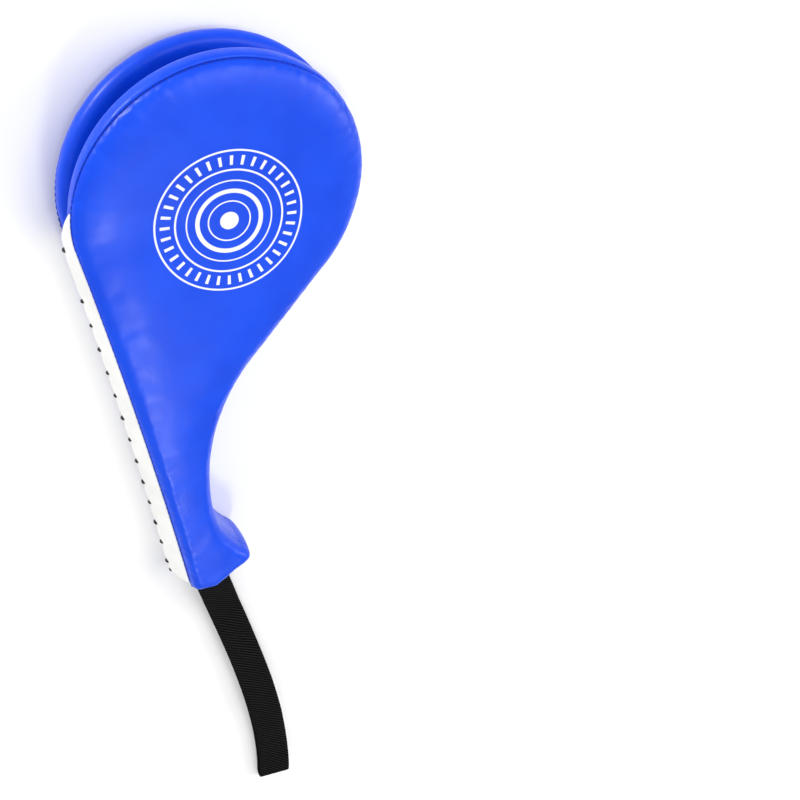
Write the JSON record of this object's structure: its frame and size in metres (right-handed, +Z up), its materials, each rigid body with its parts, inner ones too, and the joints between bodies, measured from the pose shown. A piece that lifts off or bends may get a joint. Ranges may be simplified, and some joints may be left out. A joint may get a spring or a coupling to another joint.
{
  "type": "double kicking paddle",
  "caption": "Drumstick-shaped martial arts kicking paddle with splayed padded leaves, a laced handle and a wrist strap.",
  "frame": {"origin": "under the middle of the paddle and its strap, on the surface that the paddle lies on", "axes": "+Y along the paddle from the handle to the head, +Z up out of the front leaf, +X to the right"},
  "size_m": [0.1898, 0.6546, 0.0548],
  "materials": {
    "blue_leather": "semi-gloss",
    "white_leather": "satin",
    "foam": "matte",
    "board": "matte",
    "blue_thread": "matte",
    "black_cord": "matte",
    "webbing": "matte"
  },
  "bodies": {
    "handle": {"front_grip_panel": "blue_leather", "front_pocket_lining": "blue_leather", "front_grip_foam": "foam", "front_grip_board": "board", "front_left_seam_thread": "blue_thread", "front_right_seam_thread": "blue_thread", "front_left_side_strip": "white_leather", "rear_grip_panel": "blue_leather", "rear_pocket_lining": "blue_leather", "rear_grip_foam": "foam", "rear_grip_board": "board", "rear_left_seam_thread": "blue_thread", "rear_right_seam_thread": "blue_thread", "rear_left_side_strip": "white_leather", "handle_core": "foam", "left_lace": "black_cord", "butt_panel": "blue_leather", "strap_anchor": "webbing", "strap_bar_tack": "black_cord", "right_side_panel": "blue_leather"},
    "front_leaf": {"front_face_panel": "blue_leather", "front_rim_wrap": "blue_leather", "front_pad_foam": "foam", "front_stiffener_board": "board", "front_rim_seam_thread": "blue_thread"},
    "rear_leaf": {"rear_face_panel": "blue_leather", "rear_rim_wrap": "blue_leather", "rear_pad_foam": "foam", "rear_stiffener_board": "board", "rear_rim_seam_thread": "blue_thread"},
    "strap": {"wrist_strap": "webbing"}
  },
  "joints": [
    {"name": "front_leaf_flex", "type": "hinge", "parent": "handle", "child": "front_leaf", "pos_m": [0.00025, 0.21539, 0.03295], "axis": [1, 0, 0], "range_deg": [-6, 8], "stiffness_Nm_per_rad": 20},
    {"name": "rear_leaf_flex", "type": "hinge", "parent": "handle", "child": "rear_leaf", "pos_m": [0.00025, 0.21539, 0.01405], "axis": [-1, 0, 0], "range_deg": [-5, 8], "stiffness_Nm_per_rad": 20},
    {"name": "strap_swing", "type": "hinge", "parent": "handle", "child": "strap", "pos_m": [-0.00475, -0.07611, 0.0235], "axis": [-0.9493, -0.3144, 0], "range_deg": [-60, 90]}
  ]
}
